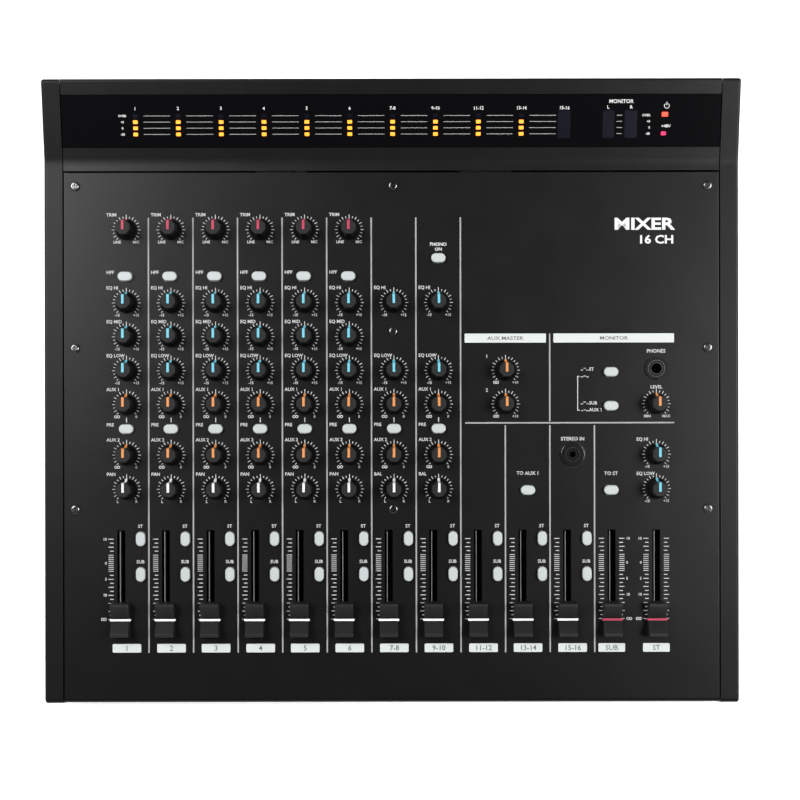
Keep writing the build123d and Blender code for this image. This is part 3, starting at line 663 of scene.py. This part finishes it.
# The knobs that turn, which are nodes of their own, by row and strip
TURNING = {(row, STRIP_1) for row in ROWS}
TURNING |= {(row, STRIP_9_10) for row in ("aux_1", "aux_2", "pan")}
for row, (_, _, _, strips) in SCALES.items():
    ink = POINTER_INKS[row]
    fixed = [(knob_u(n), ROWS[row]) for n in strips if (row, n) not in TURNING]
    add_mesh(f"pointers_{row}", *pointer_mesh(fixed), ink, "root", "channel_knobs")
    for n in strips:
        if (row, n) in TURNING:
            body = f"knob_1_{row}" if n == STRIP_1 else f"knob_9_10_{row}"
            add_mesh(f"pointer_{body}", *pointer_mesh([(knob_u(n), ROWS[row])]), ink, body, body)
MASTERS = {
    "knob_aux_master_1": (AUX_MASTER_U, "eq_low", ink_orange),
    "knob_aux_master_2": (AUX_MASTER_U, "aux_1", ink_orange),
    "knob_monitor_level": (STEREO_U, "aux_1", ink_orange),
    "knob_st_eq_hi": (STEREO_U, "aux_2", ink_blue),
    "knob_st_eq_low": (STEREO_U, "pan", ink_blue),
}
for body, (u, row, ink) in MASTERS.items():
    add_mesh(f"pointer_{body}", *pointer_mesh([(u, ROWS[row])]), ink, body, body)

# ---- Fader lines ----
# Half the width of a fader's cap, and its saddle's height over the panel
CAP_HALF, SADDLE_H = 5.6, 4.8


def fader_line(u, w):
    """A raised rib across the saddle that stands a little proud of both sides of the cap."""
    half, skin, proud = 0.6, 0.15, 0.75
    edge = -CAP_HALF - proud
    path = [(edge, 2.6), (edge, SADDLE_H - 0.3), (edge + 0.45, SADDLE_H + skin)]
    path += [(-u_side, h) for u_side, h in reversed(path)]
    points, faces = [], []
    for du, h in path:
        for dw, dh in ((-half, 0), (half, 0), (half, -0.3), (-half, -0.3)):
            points.append(PANEL @ Vector((u + du, w + dw, h + dh)))
    for n in range(len(path) - 1):
        a, b = 4 * n, 4 * n + 4
        faces += [[a, b, b + 1, a + 1], [a + 1, b + 1, b + 2, a + 2], [a + 3, b + 3, b, a]]
    return points, faces


for n, name in enumerate(STRIPS):
    body = "fader_" + name.lower().replace("-", "_")
    ink = ink_red if name in ("SUB", "ST") else line_white
    add_mesh(f"line_{body}", *fader_line(fader_u(n), FADER_REST), ink, body, body)

# ---- Meter window: print, lit and unlit segments ----
meter_white = Print(METER, thickness=0.05)
meter_grey = Print(METER, thickness=0.04)
amber = Print(METER, thickness=0.06)
red = Print(METER, thickness=0.06)
crimson = Print(METER, thickness=0.06)
unlit = Print(METER, thickness=0.03)
# Ten level meters, each with three lit segments and one unlit
METERS = range(10)
LIT = 3
LED_FIRST, LED_STEP = -156.45, 26.23
LEVELS = [16.9 + 3.7 * n for n in range(4)]
LEVEL_NAMES = ("-20", "0", "+5", "OVER")
LED_LONG, LED_HIGH, LED_RADIUS = 2.8, 2.1, 0.2
LEVEL_LINE, LEVEL_GAP = 0.35, 10
LEVEL_NAME_HIGH = 1.35
UNLIT_W, UNLIT_HIGH, UNLIT_RADIUS = 22.6, 16.5, 0.4
NUMBER_W, NUMBER_HIGH = 32.5, 1.9
MONITOR_US = (133.0, 146.7)
MONITOR_TICK, MONITOR_LINE = 3.4, 0.4
for n in BUSES:
    u = LED_FIRST + n * LED_STEP
    meter_white.text(STRIPS[n], u, NUMBER_W, NUMBER_HIGH)
    if n in METERS:
        for w in LEVELS[:LIT]:
            amber.rounded(u, w, LED_LONG, LED_HIGH, LED_RADIUS, 1)
        unlit.rounded(u, LEVELS[LIT], LED_LONG, LED_HIGH, LED_RADIUS, 1)
        for w in LEVELS:
            meter_grey.bar(u + LED_STEP / 2, w, LED_STEP - LEVEL_GAP, LEVEL_LINE)
sub_u = LED_FIRST + len(METERS) * LED_STEP
for u, length in ((sub_u, 7.6), (MONITOR_US[0], 7.0), (MONITOR_US[1], 7.6)):
    unlit.rounded(u, UNLIT_W, length, UNLIT_HIGH, UNLIT_RADIUS, 1)
for w in LEVELS:
    meter_grey.bar(sum(MONITOR_US) / 2 - 0.2, w, MONITOR_TICK, MONITOR_LINE)
for u, align in ((-164.4, "CENTER"), (158.5, "RIGHT")):
    for w, words in zip(LEVELS, LEVEL_NAMES):
        meter_white.text(words, u, w, LEVEL_NAME_HIGH, align)
meter_white.text("MONITOR", 140.5, 36.4, 2.2)
meter_white.text("L", MONITOR_US[0] - 0.4, NUMBER_W + 0.4, NUMBER_HIGH)
meter_white.text("R", MONITOR_US[1], NUMBER_W + 0.4, NUMBER_HIGH)

# The power sign and lamp, and the phantom power lamp
POWER_U, PHANTOM_U = 168.4, 166.8
meter_white.ring(POWER_U, 33.6, 1.7, 1.35, radians(125), radians(290), 16)
meter_white.bar(POWER_U, 35.0, 2.0, 0.4, pi / 2)
red.rounded(PHANTOM_U + 0.6, 28.5, 3.8, 2.8, 0.3, 1)
crimson.rounded(PHANTOM_U, 17.0, 3.0, 2.2, 0.3, 1)
meter_white.text("+48V", 168.2, 21.5, 1.8)
meter_white.finish("meter_print_white", ink_white, slot="meter_window")
meter_grey.finish("meter_print_grey", ink_grey, slot="meter_window")
amber.finish("meter_lit_amber", amber_glow, slot="meter_leds")
red.finish("meter_lit_red", red_glow, slot="meter_leds")
crimson.finish("meter_lit_crimson", crimson_glow, slot="meter_leds")
unlit.finish("meter_unlit", dark_lens, slot="meter_window")

# ---- Rear print, u measured towards the object's left ----
rear = Print(REAR)
UPPER, MIDDLE, LOWER = 80.0, 57.0, 31.0
REAR_LABEL, REAR_NUMBER, REAR_RISE = 2.0, 1.9, 9.0
MIC_LABEL_W, LINE_LABEL_W = 54.6, 46.2
for n in MONO:
    rear.text(f"MIC {n + 1}", -knob_u(n), MIC_LABEL_W, REAR_LABEL)
    rear.text(f"LINE {n + 1}", -knob_u(n), LINE_LABEL_W, REAR_LABEL)
REAR_LABELS = (
    (6, UPPER, "LINE 7"), (6, MIDDLE, "LINE 8"), (6, LOWER, "AUX 1"), (8, LOWER, "AUX 2"),
    (7, UPPER, "9"), (7, MIDDLE, "10"), (8, UPPER, "11"), (8, MIDDLE, "12"),
    (9, UPPER, "13"), (9, MIDDLE, "14"), (10, UPPER, "15"), (10, MIDDLE, "16"),
    (11, UPPER, "ST L"), (11, MIDDLE, "ST R"), (12, UPPER, "MON L"), (12, MIDDLE, "MON R"),
    (9, LOWER, "SUB L"), (10, LOWER, "SUB R"), (7, LOWER, "GND"),
)
for n, z, words in REAR_LABELS:
    rear.text(words, -knob_u(n), z + REAR_RISE, REAR_NUMBER)
rear.text("POWER", -181.0, 14.4, REAR_LABEL)
rear.finish("rear_print", ink_white, slot="rear_panel")

# ---- Floor, lights and camera ----
FLOOR = 6.0  # half its width, in metres
corners = [(-FLOOR, -FLOOR, 0), (FLOOR, -FLOOR, 0), (FLOOR, FLOOR, 0), (-FLOOR, FLOOR, 0)]
floor_mesh = bpy.data.meshes.new("floor")
floor_mesh.from_pydata(corners, [], [(0, 1, 2, 3)])
floor = bpy.data.objects.new("floor", floor_mesh)
floor_pale = new_material(
    "floor_pale", (0.86, 0.86, 0.86), 0.8, Emission_Color=(1, 1, 1, 1), Emission_Strength=0.58)
floor_mesh.materials.append(add_grain(floor_pale, 0.002, 0.00005, 0.01))
bpy.context.collection.objects.link(floor)


def soft_light(name, place, target, size, power):
    lamp = bpy.data.lights.new(name, "AREA")
    lamp.shape = "RECTANGLE"
    lamp.size, lamp.size_y = size
    lamp.energy = power
    holder = bpy.data.objects.new(name, lamp)
    holder.location = place
    holder.rotation_euler = (Vector(target) - Vector(place)).to_track_quat("-Z", "Y").to_euler()
    bpy.context.collection.objects.link(holder)


soft_light("key", (-0.92, 0.31, 1.5), (0, 0.05, 0.06), (0.9, 0.9), 31)
soft_light("fill", (1.04, -0.12, 1.5), (0.05, -0.02, 0.06), (0.75, 0.65), 30)


def studio_world(horizon, overhead, low, high):
    """A world that is bright up to low degrees above the horizon and dim from high degrees up."""
    world = bpy.data.worlds.new("studio")
    world.use_nodes = True
    tree = world.node_tree
    background = tree.nodes["Background"]
    background.inputs["Color"].default_value = (1, 1, 1, 1)
    direction = tree.nodes.new("ShaderNodeTexCoord")
    split = tree.nodes.new("ShaderNodeSeparateXYZ")
    tree.links.new(direction.outputs["Generated"], split.inputs["Vector"])
    start, end = sin(radians(low)), sin(radians(high))
    strength = add_range(tree, split.outputs["Z"], horizon, overhead, start, end)
    tree.links.new(strength, background.inputs["Strength"])
    return world


bpy.context.scene.world = studio_world(0.9, 0.03, 14, 26)
bpy.context.scene.view_settings.view_transform = "Standard"

# The camera looks down square on the panel, but for its roll in degrees. It is this far over the panel and
# sees this width of it, in millimetres.
CAMERA_DISTANCE, VIEW_WIDTH = 1000.0, 491.8
CAMERA_U, CAMERA_W, CAMERA_ROLL = 2.06, 164.15, -0.1
SENSOR = 36
LENS_SHIFT = (0.00625, 0.04375)
camera_data = bpy.data.cameras.new("camera")
camera_data.sensor_width = SENSOR
camera_data.lens = SENSOR * CAMERA_DISTANCE / VIEW_WIDTH
camera_data.shift_x, camera_data.shift_y = LENS_SHIFT
camera = bpy.data.objects.new("camera", camera_data)
viewpoint = PANEL @ Vector((CAMERA_U, CAMERA_W, CAMERA_DISTANCE))
turned = Matrix.Rotation(TILT, 4, "X") @ Matrix.Rotation(radians(CAMERA_ROLL), 4, "Z")
camera.matrix_world = Matrix.Translation(viewpoint) @ turned
bpy.context.collection.objects.link(camera)
bpy.context.scene.camera = camera
